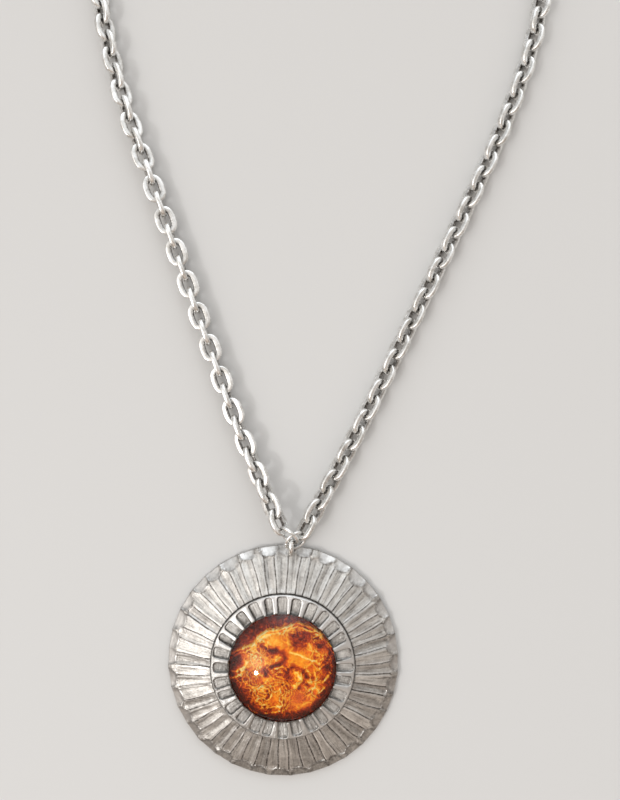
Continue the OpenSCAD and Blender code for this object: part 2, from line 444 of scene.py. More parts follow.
class Finish:
    """A material under way: its tree and its main shader."""

    def __init__(self, name: str, **sockets) -> None:
        """Starts a material with a Principled shader.

        Args:
            name: Name of the material.
            sockets: Constant values of the shader's sockets, with underscores for spaces.
        """
        self.material = bpy.data.materials.new(name)
        self.material.use_nodes = True
        self.tree = Tree(self.material.node_tree)
        values = {k.replace("_", " "): v for k, v in sockets.items()}
        self.shader = self.tree.add("BsdfPrincipled", None, values)
        self.out = self.tree.add("OutputMaterial", {"Surface": self.shader.outputs[0]})
        place = self.tree.add("TexCoord").outputs["Object"]
        self.millimetres = self.tree.add("Mapping", {0: place}, {"Scale": (1 / MM,) * 3}).outputs[0]

    def group(self, group: NodeTree, **values) -> Node:
        """Places a shared effect, on the surface's own millimetres unless a vector is given."""
        node = self.tree.add("Group", node_tree=group)
        for name, value in ({"Vector": self.millimetres} | values).items():
            self.tree.give(node.inputs[name], value)
        return node

    def mark(self, name: str) -> NodeSocket:
        """Reads a value stored at the mesh's vertices."""
        return self.tree.add("Attribute", attribute_name=name).outputs["Fac"]

    def feed(self, **sockets) -> None:
        """Links sockets to the shader's inputs, with underscores for spaces."""
        for name, socket in sockets.items():
            self.tree.give(self.shader.inputs[name.replace("_", " ")], socket)

    def bump(self, height, distance_mm: float) -> None:
        """Roughens the surface by a height, of which 1 stands up by the distance."""
        node = self.tree.add("Bump", {"Height": height}, {"Strength": 1.0, "Distance": distance_mm * MM})
        self.feed(Normal=node.outputs[0])


@dataclass(frozen=True)
class PewterFinish:
    """Cast pewter: warm grey, matte, dark with patina and painted shade in its hollows, and bright with
    polish and painted highlights on its crests.
    """

    name: str
    body: Triple = (0.72, 0.695, 0.655)
    cloudy: Triple = (0.50, 0.475, 0.445)
    dark: Triple = (0.050, 0.043, 0.037)
    crest: Triple = (0.80, 0.79, 0.78)
    rough: tuple[float, float] = (0.20, 0.50)
    grain_scale: float = 2.6
    tarnish_scale: float = 1.7
    scratch_scale: float = 3.0
    stroke_scale: float = 2.8
    relief: float = 0.06

    def make(self, effects: SharedEffects) -> Material:
        """Builds the material.

        Args:
            effects: The shared node groups.

        Returns:
            The material, which reads the mark hollow (patina and painted shade), the mark of polish and
            painted highlights, and the map round.
        """
        finish = Finish(self.name, Metallic=1.0)
        tree = finish.tree
        crest = finish.mark("crest")
        round_map = tree.add("UVMap", uv_map="round").outputs[0]
        grain = finish.group(effects.grain, Scale=self.grain_scale)
        tarnish = finish.group(effects.tarnish, Hollow=finish.mark("hollow"), Scale=self.tarnish_scale)
        scratch = finish.group(effects.scratches, Scale=self.scratch_scale)
        stroke = finish.group(effects.strokes, Vector=round_map, Scale=self.stroke_scale)
        pitting, fine = grain.outputs["Height"], stroke.outputs["Fine"]

        cloud = tree.plus(grain.outputs["Blotch"], tree.times(stroke.outputs["Broad"], 0.8))
        colour = tree.mix(tree.span(cloud, 0.72, 1.08, 0, 1), self.body, self.cloudy)
        # crests are polished, so that streaks, pits and relief fade there; the same mark carries painted
        # highlights
        kept = tree.span(crest, 0.0, 0.5, 1.0, 0.2)
        streak = tree.times(tree.span(fine, 0.53, 0.70, 0, 0.66), kept)
        pit = tree.times(tree.span(pitting, 0.55, 0.74, 0, 0.55), kept)
        # the bright colour of the polish also paints highlights, and the tarnish mask also paints shade
        for share, over in ((streak, self.dark), (pit, self.dark), (crest, self.crest),
                            (tarnish.outputs[0], self.dark)):
            colour = tree.mix(share, colour, over)
        dull = tree.minus(tree.span(pitting, 0.2, 0.8, 0.4, 0.62), tree.times(crest, 0.6))
        finish.feed(Base_Color=colour, Roughness=tree.span(dull, 0.0, 0.75, *self.rough))
        height = tree.plus(pitting, tree.times(fine, 1.1))
        height = tree.minus(height, tree.times(scratch.outputs[0], 0.3))
        finish.bump(tree.times(height, kept), self.relief)
        return finish.material


@dataclass(frozen=True)
class SilverFinish:
    """Bright silver plate with hairlines, darkened on the inside of the loops by a little tarnish and by
    painted shade.
    """

    name: str
    body: Triple = (0.90, 0.895, 0.88)
    dull: Triple = (0.66, 0.645, 0.615)
    dark: Triple = (0.10, 0.09, 0.08)
    rough: tuple[float, float] = (0.18, 0.34)
    grain_scale: float = 3.5
    tarnish_scale: float = 2.2
    scratch_scale: float = 5.0
    relief: float = 0.02

    def make(self, effects: SharedEffects) -> Material:
        """Builds the material.

        Args:
            effects: The shared node groups.

        Returns:
            The material, which reads the mark hollow.
        """
        finish = Finish(self.name, Metallic=1.0)
        tree = finish.tree
        grain = finish.group(effects.grain, Scale=self.grain_scale)
        tarnish = finish.group(effects.tarnish, Hollow=finish.mark("hollow"), Scale=self.tarnish_scale)
        scratch = finish.group(effects.scratches, Scale=self.scratch_scale)
        pitting = grain.outputs["Height"]
        colour = tree.mix(tree.span(grain.outputs["Blotch"], 0.42, 0.64, 0, 1), self.body, self.dull)
        # the tarnish mask also paints shade on the inside of the loops
        colour = tree.mix(tarnish.outputs[0], colour, self.dark)
        finish.feed(Base_Color=colour, Roughness=tree.span(pitting, 0.3, 0.7, *self.rough))
        finish.bump(tree.minus(tree.times(pitting, 0.5), tree.times(scratch.outputs[0], 0.3)), self.relief)
        return finish.material


@dataclass(frozen=True)
class AmberFinish:
    """Clear amber glass that lets the lamps through to the foil."""

    name: str = "amber_glass"
    tint: Triple = (1.0, 0.80, 0.40)
    shade: Triple = (1.0, 0.90, 0.70)

    def make(self) -> Material:
        """Builds the glass."""
        finish = Finish(self.name, Base_Color=(*self.tint, 1), Roughness=0.03, IOR=1.42,
                        Transmission_Weight=1.0)
        tree = finish.tree
        clear = tree.add("BsdfTransparent", None, {0: (*self.shade, 1)}).outputs[0]
        shadow = tree.add("LightPath").outputs["Is Shadow Ray"]
        both = tree.add("MixShader", {0: shadow, 1: finish.shader.outputs[0], 2: clear})
        tree.give(finish.out.inputs["Surface"], both.outputs[0])
        return finish.material


@dataclass(frozen=True)
class FoldLayer:
    """Folds that follow the levels of a noise: its shape, how many levels show and how bright they are."""

    scale: float
    warp: float
    detail: float
    levels: float
    bright: float = 0.28


@dataclass(frozen=True)
class FoilFinish:
    """Crinkled foil, from deep red-brown in its folds to bright gold on its creases: gold and red-brown of
    its own, with painted shade in the folds and painted glints on the creases.
    """

    name: str = "crinkled_gold_foil"
    # the ramp holds the foil's own red-brown to gold, and its dark and bright ends also paint shade in the
    # folds and glints on the creases
    stops: tuple[tuple[float, Triple], ...] = (
        (0.0, (0.032, 0.004, 0.002)),
        (0.14, (0.14, 0.013, 0.003)),
        (0.28, (0.38, 0.040, 0.004)),
        (0.44, (0.70, 0.140, 0.006)),
        (0.60, (0.88, 0.36, 0.020)),
        (0.78, (1.0, 0.68, 0.14)),
        (1.0, (1.0, 0.97, 0.70)),
    )
    folds: tuple[FoldLayer, ...] = (FoldLayer(0.20, 1.6, 0.6, 9.0), FoldLayer(0.42, 1.2, 0.3, 4.0))
    grain_scale: float = 2.4
    facet_scale: float = 0.62
    facet_sway: float = 3.0
    relief: float = 0.18

    def make(self, effects: SharedEffects) -> Material:
        """Builds the material.

        Args:
            effects: The shared node groups.

        Returns:
            The material, which reads the marks tone and crackle.
        """
        finish = Finish(self.name, Metallic=0.12, Specular_IOR_Level=0.05)
        tree = finish.tree
        grain = finish.group(effects.grain, Scale=self.grain_scale)
        tone = finish.mark("tone")
        shown = tree.times(tree.span(tone, 0.12, 0.42, 0.35, 1.0), finish.mark("crackle"))
        height = tree.times(grain.outputs["Height"], 0.2)
        for layer in self.folds:
            crease, valley = self._fold(finish, layer, shown)
            # creases add painted glints and valleys add painted shade
            tone = tree.plus(tone, tree.times(crease, layer.bright))
            tone = tree.minus(tone, tree.times(valley, 0.7 * layer.bright))
            height = tree.plus(height, tree.times(crease, 3 * layer.bright))
        ridge, tilt = self._facets(finish, shown)
        tone = tree.plus(tone, tree.plus(ridge, tilt))
        tone = tree.plus(tone, tree.span(grain.outputs["Height"], 0.3, 0.7, -0.08, 0.08))
        finish.feed(Base_Color=tree.ramp(tone, self.stops),
                    Roughness=tree.span(grain.outputs["Blotch"], 0.3, 0.7, 0.20, 0.36))
        finish.bump(tree.plus(height, tree.times(ridge, 2.0)), self.relief)
        return finish.material

    @staticmethod
    def _fold(finish: Finish, layer: FoldLayer, shown) -> tuple[NodeSocket, NodeSocket]:
        """Draws the creases of one layer as painted glints and the valleys between them as painted shade.

        Args:
            finish: The material under way.
            layer: The layer.
            shown: Socket of how much of it shows.

        Returns:
            The sockets of the creases and of the valleys.
        """
        tree = finish.tree
        fold = tree.noise(finish.millimetres, layer.scale, Detail=layer.detail, Roughness=0.5,
                          Distortion=layer.warp)
        level = tree.maths("FRACT", tree.times(fold.outputs[0], layer.levels))
        off = tree.maths("ABSOLUTE", tree.minus(level, 0.5))
        patch = tree.noise(finish.millimetres, 0.7 * layer.scale + 0.2, Detail=2.0)
        here = tree.times(tree.span(patch.outputs[0], 0.42, 0.58, 0, 1), shown)
        crease = tree.times(tree.span(off, 0.03, 0.16, 1, 0), here)
        return crease, tree.times(tree.span(off, 0.22, 0.40, 0, 1), here)

    def _facets(self, finish: Finish, shown) -> tuple[NodeSocket, NodeSocket]:
        """Draws small facets with bright ridges between them: painted glints on the ridges and painted shade
        by each facet's tilt.

        Args:
            finish: The material under way.
            shown: Socket of how much of them shows.

        Returns:
            The sockets of the ridges and of the facets' tilt.
        """
        tree = finish.tree
        sway = tree.noise(finish.millimetres, 0.4, Detail=2.0)
        bent = tree.add("VectorMath", {0: sway.outputs["Color"], 2: finish.millimetres},
                        {1: (self.facet_sway,) * 3}, operation="MULTIPLY_ADD").outputs[0]
        cells = {"Scale": self.facet_scale}
        seam = tree.add("TexVoronoi", {"Vector": bent}, cells, feature="DISTANCE_TO_EDGE").outputs["Distance"]
        facet = tree.add("TexVoronoi", {"Vector": bent}, cells, feature="F1").outputs["Color"]
        tilt = tree.span(tree.add("SeparateColor", {0: facet}).outputs[0], 0, 1, -0.10, 0.12)
        return tree.times(tree.span(seam, 0.02, 0.10, 0.22, 0), shown), tree.times(tilt, shown)


@dataclass
class FluteCut:
    """The flutes at each vertex of the disc.

    Attributes:
        number: Which flute the vertex is in.
        out: Distance from the disc's axis.
        turn: Way round the disc.
        height: Height of the gouged face.
        groove: Share of the groove between two flutes.
        stroke: Share of the tool marks in the flute.
        gap: Distance from the flute's border.
        within: Whether the vertex is inside that border.
    """

    number: Array
    out: Array
    turn: Array
    height: Array
    groove: Array
    stroke: Array
    gap: Array
    within: Array


@dataclass
class FlutedDisc:
    """The cast disc: a low dome with gouged flutes and thumbnail scallops round its rim."""

    radius: float = 25.0
    rim: float = 1.3
    rim_round: float = 0.16
    shoulder: float = 4.9
    collar_radius: float = 15.4
    seat_height: float = 3.2
    pocket_radius: float = 12.03
    pocket_floor: float = 2.2
    back: Line = ((0, 0), (6, 0), (14, 0), (21, 0), (24.2, 0), (24.7, 0.06), (24.93, 0.22), (25.0, 0.5))
    fine_rows_to: float = 21.7
    row_rise: float = 0.01
    flutes: int = 54
    depth: float = 0.42
    width_spread: float = 0.22
    wander: float = 0.006
    wander_over: tuple[float, float] = (15.5, 19.0)
    strokes: tuple[tuple[int, float], ...] = ((Trait.STROKE, 0.8), (Trait.SECOND_STROKE, 0.5))
    groove_width: float = 0.15
    groove_depth: float = 0.25
    stroke_depth: float = 0.07
    lean: float = 0.24
    scallops: int = 36
    scallop_length: float = 1.9
    scallop_half: float = 2.0
    scallop_depth: float = 0.30
    scallop_turn: float = 88.3
    scallop_spread: float = 0.12
    scallop_power: float = 2.3
    bottom_way: float = 4.9
    # the way towards which the painted shade and highlights of the flutes are stronger
    lively_way: float = 5.2
    upper_right_way: float = 0.9
    across: tuple[float, ...] = (-1, -0.955, -0.88, -0.78, -0.62, -0.42, -0.2, 0.03, 0.25, 0.46, 0.64, 0.79,
                                 0.88, 0.955)

    def __post_init__(self) -> None:
        """Works out the dome through the rim's edge and the shoulder."""
        r, c = self.radius, self.collar_radius
        self.dome_centre = (r**2 + self.rim**2 - c**2 - self.shoulder**2) / 2 / (self.rim - self.shoulder)
        self.dome_radius = math.hypot(c, self.shoulder - self.dome_centre)

    def dome(self, r: Array) -> Array:
        """Height of the plain dome at a radius."""
        return self.dome_centre + np.sqrt(self.dome_radius**2 - r**2)

    def top_radii(self) -> list[float]:
        """Radii of the rows of vertices over the top, from the rim inwards."""
        close = [self.radius - d for d in (0, 0.03, 0.09, 0.18)]
        rim = np.arange(self.radius - 0.3, self.fine_rows_to, -0.13)
        face = np.arange(self.fine_rows_to - 0.15, self.collar_radius + 0.3, -0.3)
        return [float(r) for r in (*close, *rim, *face)] + [self.collar_radius + d for d in (0.2, 0.1, 0.03)]

    def build(self, finish: Material) -> Object:
        """Spins the disc and cuts its details.

        Args:
            finish: The disc's material.

        Returns:
            The piece.
        """
        # each row of the top starts at a height of its own, by which its vertices are known again
        top = [(r, self.rim + self.row_rise * k) for k, r in enumerate(self.top_radii())]
        seat_radius = top[-1][0]
        profile = [*self.back, *top, (seat_radius, self.seat_height), (self.pocket_radius, self.seat_height),
                   (self.pocket_radius, self.pocket_floor), (5, self.pocket_floor), (0, self.pocket_floor)]
        columns = self.flutes * len(self.across)
        piece = make_piece("fluted_disc", spun(profile, columns, False), finish)
        self._cut(piece.data, {round(z / MM): r for r, z in top}, columns)
        map_round(piece.data)
        return piece

    def _cut(self, mesh: Mesh, heights: dict[int, float], columns: int) -> None:
        """Moves the vertices of the top to the cut surface, and marks hollows and crests: patina and painted
        shade, polish and painted highlights.

        Args:
            mesh: The spun disc.
            heights: Radius of each row of the top, by its height in thousandths.
            columns: Columns of the spun disc.
        """
        points = points_of(mesh)
        cut = self._flute(points, columns)
        rows = np.rint(points[:, 2] / MM).astype(int)
        on_top = np.array([z in heights and abs(heights[z] - r) < 0.01 for z, r in zip(rows, cut.out)])
        x, y = cut.out * np.cos(cut.turn), cut.out * np.sin(cut.turn)
        reach = self._scallop(x, y)
        scoop = np.clip(1 - reach**2, 0, 1) ** 0.6
        bottom = facing(cut.turn, self.bottom_way)
        bowl = self.dome(cut.out) - 0.06 - self.scallop_depth * (1 - 0.45 * bottom) * scoop
        z = np.where(reach < 1, np.minimum(bowl, cut.height + 0.1), cut.height)
        flat = np.c_[x, y, 0 * x]
        z += 0.05 * rough_at(flat, 0.55, 3.1) + 0.03 * rough_at(flat, 1.7, 8.4)
        edge = np.clip(self.rim_round - (self.radius - cut.out), 0, self.rim_round)
        z -= self.rim_round - np.sqrt(np.maximum(self.rim_round**2 - edge**2, 0))
        # the scallops draw the outline in a little, least at the bottom
        drawn = 0.1 * (1 - bottom) * scoop * smooth_step(23.8, self.radius, cut.out)
        pull = 1 - drawn / np.maximum(cut.out, 1)
        move_points(mesh, np.c_[x * pull, y * pull, np.where(on_top, z, points[:, 2])])
        hollow, crest = self._tones(cut, reach)
        mark_points(mesh, "hollow", np.where(on_top, hollow, 0.15))
        mark_points(mesh, "crest", np.where(on_top, crest, 0))

    def _flute(self, points: Array, columns: int) -> FluteCut:
        """Spreads the columns over flutes of uneven width, and gouges them.

        Args:
            points: Vertices of the spun disc.
            columns: Columns of the spun disc.

        Returns:
            The flutes at each vertex.
        """
        out = out_of(points)
        column = columns_of(points, columns)
        number, place = column // len(self.across), column % len(self.across)
        across = np.array(self.across)[place]
        shares = 1 + self.width_spread * uneven(np.arange(self.flutes), Trait.FLUTE_WIDTH)
        ends = np.concatenate([[0], np.cumsum(shares)]) / shares.sum() * math.tau

        def border(flute: Array) -> Array:
            """Way round of a flute's first border, which wanders on its way out."""
            sway = np.sin(0.55 * out + 2.4 * (flute % self.flutes))
            return ends[flute] + self.wander * sway * smooth_step(*self.wander_over, out)

        begin, width = border(number), border(number + 1) - border(number)
        half = out * width / 2
        end = self.radius - self.scallop_length - 0.5 + 0.4 * uneven(number, Trait.FLUTE_END)
        past = np.maximum(0, out - end) / np.maximum(half, 0.01)
        share = np.sqrt(across**2 + past**2)
        gap = np.abs(1 - share) * half
        stroke = np.zeros(len(out))
        for seed, strength in self.strokes:
            chosen = 3 + np.floor(3.99 * (1 + uneven(number, seed + 1))).astype(int)
            start = 17.6 + 1.6 * uneven(number, seed + 20)
            line = (uneven(number, seed) > -0.1) * (place == chosen) * smooth_step(end + 0.6, end - 0.6, out)
            stroke = np.maximum(stroke, strength * line * smooth_step(start - 0.8, start + 0.8, out))
        groove = bump_at(gap, 0, self.groove_width) * (0.85 + 0.35 * uneven(number, Trait.GROOVE))
        groove *= 0.25 + 0.75 * smooth_step(0.9, 0.2, past)
        bowl = np.clip(1 - share**2.4, 0, 1)
        bowl *= 0.35 + 0.65 * smooth_step(self.collar_radius, self.collar_radius + 1.3, out)
        sunk = self.depth * 0.78 * (1 + 0.5 * uneven(number, Trait.FLUTE_DEPTH)) * bowl
        height = self.dome(out) - sunk - self.groove_depth * groove - self.stroke_depth * stroke
        height += self.lean * uneven(number, Trait.LEAN) * across * bowl
        turn = begin + width * (across + 1) / 2
        return FluteCut(number, out, turn, height, groove, stroke, gap, share < 1)

    def _tones(self, cut: FluteCut, reach: Array) -> tuple[Array, Array]:
        """Works out the disc's patina and painted shade, and where it is polished or carries painted
        highlights.

        Args:
            cut: The flutes at each vertex.
            reach: Share of the nearest scallop's half width at each vertex.

        Returns:
            The mark hollow, of patina and painted shade, and the mark of polish and painted highlights.
        """
        inside = reach < 1
        bottom, painted_contrast = facing(cut.turn, self.bottom_way), facing(cut.turn, self.lively_way)
        run = smooth_step(24.6, 23.6, cut.out) * ~inside
        # patina in the grooves between flutes, with painted shade that makes it heavier towards the lower
        # right
        groove = np.clip((1.25 + 0.4 * painted_contrast) * cut.groove - 0.1, 0, 1) * run
        border = bump_at((reach - 1.0) * 1.6, 0.06, 0.15) * ~inside
        # painted shade on the facets between the scallops, which tilt away from the light
        between = 0.38 * smooth_step(22.9, 24.2, cut.out) * smooth_step(1.0, 1.25, reach)
        # a tone that differs from flute to flute, with painted shade doubling it towards the lower right
        dull = 0.13 * (1 + uneven(cut.number, Trait.FLUTE_TONE)) * (1 + painted_contrast) * ~inside
        # painted shade inside the scallops, heaviest towards the bottom and the upper right and towards their
        # borders
        scallop_shade = 0.10 + 0.34 * bottom + 0.14 * facing(cut.turn, self.upper_right_way)
        scallop_shade = inside * (scallop_shade + 0.32 * smooth_step(0.6, 1.0, reach))
        joint = bump_at(cut.out, self.collar_radius, 0.20)
        hollow = np.maximum.reduce([groove, 0.7 * cut.stroke * run, 0.6 * border, between, scallop_shade, dull, joint])
        # polish with painted highlight: a bright line by each flute's ridge, stronger towards the lower
        # right, and painted highlight on the scallops' faces, fading towards the bottom
        crest = 0.45 * (1 + 0.9 * painted_contrast) * bump_at(cut.gap, 0.32, 0.11) * run * cut.within
        return hollow, crest + 0.44 * (1 - 0.8 * bottom) * inside

    def _scallop(self, x: Array, y: Array) -> Array:
        """Works out how near each vertex is to the middle of a thumbnail hollow on the rim.

        Args:
            x: Place of each vertex.
            y: Place of each vertex.

        Returns:
            The share of the nearest hollow's half width, 1 at its border.
        """
        best = np.full(len(x), FAR)
        for i in range(self.scallops):
            place, width, length = (self.scallop_spread * float(uneven(i, trait)) for trait in
                                    (Trait.SCALLOP_PLACE, Trait.SCALLOP_WIDTH, Trait.SCALLOP_LENGTH))
            turn = math.radians(self.scallop_turn) + math.tau / self.scallops * (i + place)
            out = x * math.cos(turn) + y * math.sin(turn)
            side = (y * math.cos(turn) - x * math.sin(turn)) / (self.scallop_half * (1 + width))
            deep = np.maximum(self.radius + 0.25 - out, 0) / ((self.scallop_length + 0.45) * (1 + length))
            share = (np.abs(side)**self.scallop_power + deep**self.scallop_power) ** (1 / self.scallop_power)
            best = np.minimum(best, np.where(out > 0, share, FAR))
        return best


@dataclass
class PocketedCollar:
    """The raised ring round the stone, with a row of sunk pockets."""

    outer: float = 15.38
    inner: float = 11.3
    stone_radius: float = 11.65
    base: float = 3.25
    shoulder: float = 4.9
    girdle: float = 5.6
    knees: Line = ((0, 0.12), (0.05, 0.34), (0.13, 0.5), (0.25, 0.6))
    slope: tuple[float, ...] = (0.4, 0.49, 0.58, 0.68, 0.8, 0.96, 1.18, 1.56, 2.04, 2.52, 2.95, 3.24, 3.38,
                                3.48)
    lip: Line = ((11.78, 0.53), (11.66, 0.54), (11.47, 0.52), (11.36, 0.44))
    pockets: int = 28
    pocket_width: float = 1.78
    pocket_depth: float = 0.5
    pocket_corner: float = 0.5
    pocket_ends: tuple[float, float] = (11.45, 14.8)
    pocket_middle: float = 13.2
    floor: tuple[float, ...] = (-1, -0.88, -0.66, -0.36, 0, 0.36, 0.66, 0.88, 1)
    # the way of the side that gets painted shade and dimmer painted highlights
    left_way: float = 3.1

    def face_rows(self) -> list[tuple[float, float]]:
        """Radius and height of the rows over the face, from outside inwards."""
        knees = [(self.outer - d, self.shoulder + rise) for d, rise in self.knees]
        start, end = self.shoulder + 0.68, self.girdle + 0.5
        first, last = self.slope[0], self.slope[-1]
        slope = [(self.outer - d, start + (end - start) * (d - first) / (last - first)) for d in self.slope]
        return knees + slope + [(r, self.girdle + rise) for r, rise in self.lip]

    def build(self, finish: Material) -> Object:
        """Spins the collar and sinks its pockets.

        Args:
            finish: The collar's material.

        Returns:
            The piece.
        """
        profile = [(self.stone_radius, self.base), (self.outer, self.base), *self.face_rows(),
                   (self.inner, self.girdle + 0.3), (self.stone_radius, self.girdle + 0.02)]
        columns = self.pockets * (len(self.floor) + 8)
        piece = make_piece("pocketed_collar", spun(profile, columns, True), finish)
        self._sink(piece.data, columns)
        map_round(piece.data)
        return piece

    def _across(self, place: Array, half: Array, r: Array) -> Array:
        """Spreads a pocket's columns over the bar, down the wall, over the floor and up again.

        Args:
            place: Number of each vertex's column in its pocket.
            half: Half width of the pocket there.
            r: Distance from the axis.

        Returns:
            The distance of each vertex from the pocket's middle line.
        """
        border = math.pi / self.pockets * r
        foot, head = half + 0.08, half + 0.2
        bar = 0.55 * border + 0.45 * head
        steps = [-border, -bar, -head, -foot, *(share * half for share in self.floor), foot, head, bar,
                 0.8 * border + 0.2 * head]
        return np.choose(place, steps)

    def _sink(self, mesh: Mesh, columns: int) -> None:
        """Moves vertices to the pockets' walls and floors, and marks hollows and crests: patina and painted
        shade, polish and painted highlights.

        Args:
            mesh: The spun collar.
            columns: Columns of the spun collar.
        """
        points = points_of(mesh)
        r, column = out_of(points), columns_of(points, columns)
        pocket, place = np.divmod(column, columns // self.pockets)
        half = self.pocket_width / 2 * (1 + 0.20 * uneven(pocket, Trait.POCKET_WIDTH))
        half *= 0.4 + 0.6 * r / 13.4
        across = self._across(place, half, r)
        each = math.tau / self.pockets
        drift = 0.08 * each * uneven(pocket, Trait.POCKET_PLACE)
        drift += 0.09 * uneven(pocket, Trait.POCKET_SLANT) * (r - self.pocket_middle) / r
        drift = np.where(np.abs(across) > half + 0.25, 0, drift)
        turn = each * pocket + drift + across / r
        lowest = np.select([r > 14, r > 12.2], [-1.95, 0.05], 0.35)
        face = (points[:, 2] > self.shoulder) & (points[:, 2] > self.girdle + lowest)

        start, end = self.pocket_ends
        end = end + 0.2 * uneven(pocket, Trait.POCKET_END)
        over_side = np.abs(across) - (half - self.pocket_corner)
        over_end = r - (end - self.pocket_corner)
        past = np.hypot(np.maximum(over_side, 0), np.maximum(over_end, 0))
        past = np.maximum(past, np.maximum(over_side, over_end)) - self.pocket_corner
        sunk = smooth_step(0.12, 0.0, past) * smooth_step(start - 0.12, start + 0.1, r) * face
        x, y = r * np.cos(turn), r * np.sin(turn)
        flat = np.c_[x, y, 0 * x]
        steep = 1 + 0.8 * np.clip((14.5 - r) / 2.6, 0, 1)
        z = points[:, 2] - self.pocket_depth * (1 + 0.35 * uneven(pocket, Trait.POCKET_DEPTH)) * steep * sunk
        z += face * (0.04 * rough_at(flat, 0.9, 5.5) + 0.03 * rough_at(flat, 2.4, 1.2) * (1 + sunk))
        move_points(mesh, np.c_[x, y, z])

        up, left = np.sin(turn), facing(turn, self.left_way)
        # patina along the pocket walls, with a painted shadow along one wall of most pockets, a little
        # heavier towards the top
        shadow_side = np.where(uneven(pocket, Trait.LEAN) > -0.4, 1, -1)
        heavy = np.where(np.sign(across) == shadow_side, 1.0, 0.55) * (0.9 + 0.2 * up)
        wall = bump_at(past, -0.02, 0.19) * smooth_step(start - 0.3, start, r) * heavy
        # painted shade on the pocket floors: darker on the left, lighter at the top and darker towards the
        # stone, over a tone that differs from pocket to pocket
        floor = 0.17 + 0.18 * left - 0.09 * up + 0.14 * uneven(pocket, Trait.POCKET_TONE)
        floor = sunk * (floor + 0.35 * smooth_step(13.0, 11.9, r))
        # painted shade where the collar's lip meets the stone
        seam = 0.9 * smooth_step(11.8, 11.45, r)
        joint = bump_at(r, self.outer, 0.17)
        # the last term paints shade over the collar's left side, lighter at the top
        hollow = np.maximum.reduce([wall, floor, seam, joint, 0.34 * left - 0.16 * up])
        # polish on the bars between the pockets, with painted highlights that are brighter at the top and
        # dimmer on the left
        bar = 0.5 + 0.3 * uneven(pocket, Trait.POCKET_CREST) + 0.35 * up
        crest = (1 - sunk) * smooth_step(0.05, 0.3, past) * face * bar * (1 - 0.7 * left)
        mark_points(mesh, "hollow", hollow * (points[:, 2] > self.base + 0.2))
        mark_points(mesh, "crest", crest * smooth_step(self.outer - 0.02, self.outer - 0.45, r))


@dataclass
class Stone:
    """The amber dome."""

    radius: float = 11.6
    base: float = 2.23
    chamfer: float = 0.25
    girdle: float = 5.6
    rise: float = 3.9
    columns: int = 160
    rows: int = 26

    def build(self, finish: Material) -> Object:
        """Spins the dome.

        Args:
            finish: The glass.

        Returns:
            The piece.
        """
        sphere = (self.radius**2 + self.rise**2) / 2 / self.rise
        full = math.asin(self.radius / sphere)
        top = self.girdle + self.rise
        profile = [(0, self.base), (6, self.base), (self.radius - self.chamfer, self.base),
                   (self.radius, self.base + self.chamfer)]
        for k in range(self.rows):
            tilt = full * (1 - k / self.rows)
            profile.append((sphere * math.sin(tilt), top - sphere * (1 - math.cos(tilt))))
        return make_piece("amber_stone", spun([*profile, (0, top)], self.columns, False), finish)


def near_path(u: Array, v: Array, path: Line) -> Array:
    """Distance of each point from a bent line.

    Args:
        u: Place of each point.
        v: Place of each point.
        path: Corners of the line.

    Returns:
        The distances.
    """
    best = np.full(len(u), FAR)
    for (au, av), (bu, bv) in zip(path, path[1:]):
        du, dv = bu - au, bv - av
        t = np.clip(((u - au) * du + (v - av) * dv) / (du * du + dv * dv), 0, 1)
        best = np.minimum(best, np.hypot(u - au - t * du, v - av - t * dv))
    return best


@dataclass(frozen=True)
class Crease:
    """A fold of the foil: how much brighter it is, how wide, and its line in shares of the foil's radius."""

    gain: float
    width: float
    path: Line


@dataclass(frozen=True)
class Patch:
    """A round place on the foil: its middle and size in shares of the foil's radius, and its gain."""

    u: float
    v: float
    size: float
    gain: float

    def at(self, u: Array, v: Array) -> Array:
        """What it adds at each place."""
        return self.gain * bump_at(np.hypot(u - self.u, v - self.v), 0, self.size)


